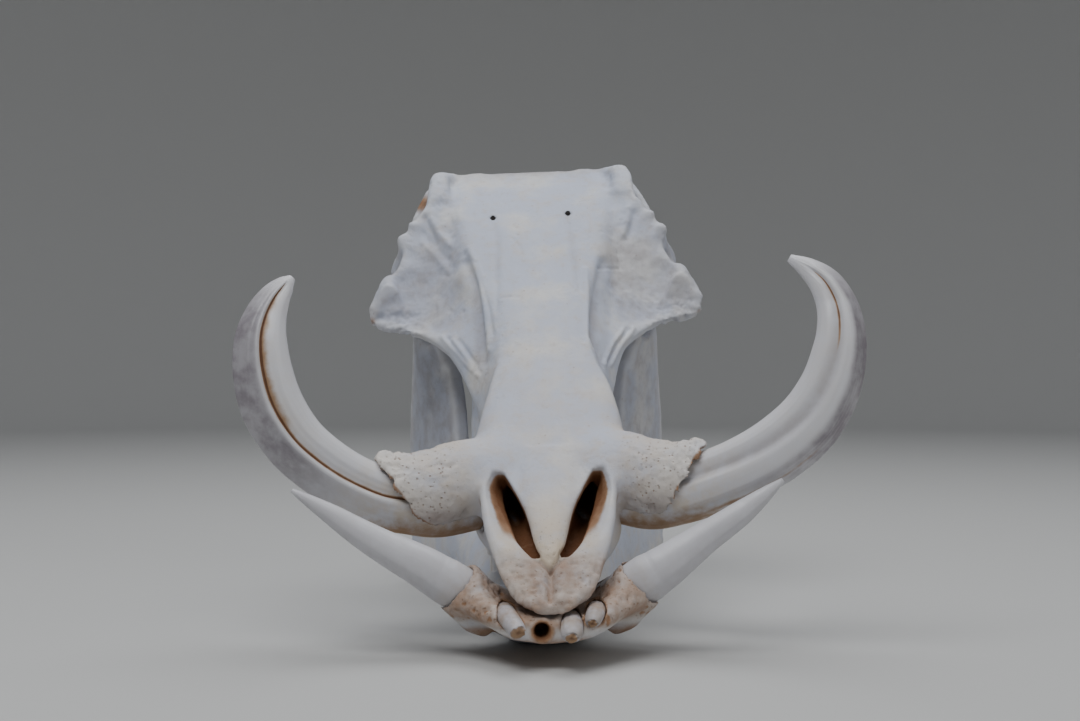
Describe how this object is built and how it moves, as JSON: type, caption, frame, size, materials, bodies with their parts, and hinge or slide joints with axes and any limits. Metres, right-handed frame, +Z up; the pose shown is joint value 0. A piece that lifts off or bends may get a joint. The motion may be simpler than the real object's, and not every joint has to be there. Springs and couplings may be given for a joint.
{
  "type": "warthog skull",
  "caption": "Dry warthog skull resting on its lower jaw: wide cheek wings, flat brow, large curved upper tusks, straighter lower tusks and loose teeth seated in their sockets.",
  "frame": {"origin": "centre of the bounding box at table height, under the skull", "axes": "+Z up from the table, -Y toward the muzzle, +X toward the animal's own left side"},
  "size_m": [0.3496, 0.3491, 0.2997],
  "materials": {
    "bone": "matte, chalky",
    "ivory": "satin",
    "tooth": "satin"
  },
  "bodies": {
    "root": {"cranium": "bone", "lower_incisor_left_1": "ivory", "lower_incisor_left_2": "ivory", "lower_incisor_right_2": "ivory", "lower_molar_2_left": "tooth", "lower_molar_2_right": "tooth", "lower_molar_3_left": "tooth", "lower_molar_3_right": "tooth", "lower_tusk_left": "ivory", "lower_tusk_right": "ivory", "mandible": "bone", "upper_molar_2_left": "tooth", "upper_molar_2_right": "tooth", "upper_molar_3_left": "tooth", "upper_molar_3_right": "tooth", "upper_tusk_left": "ivory", "upper_tusk_right": "ivory"}
  },
  "joints": []
}
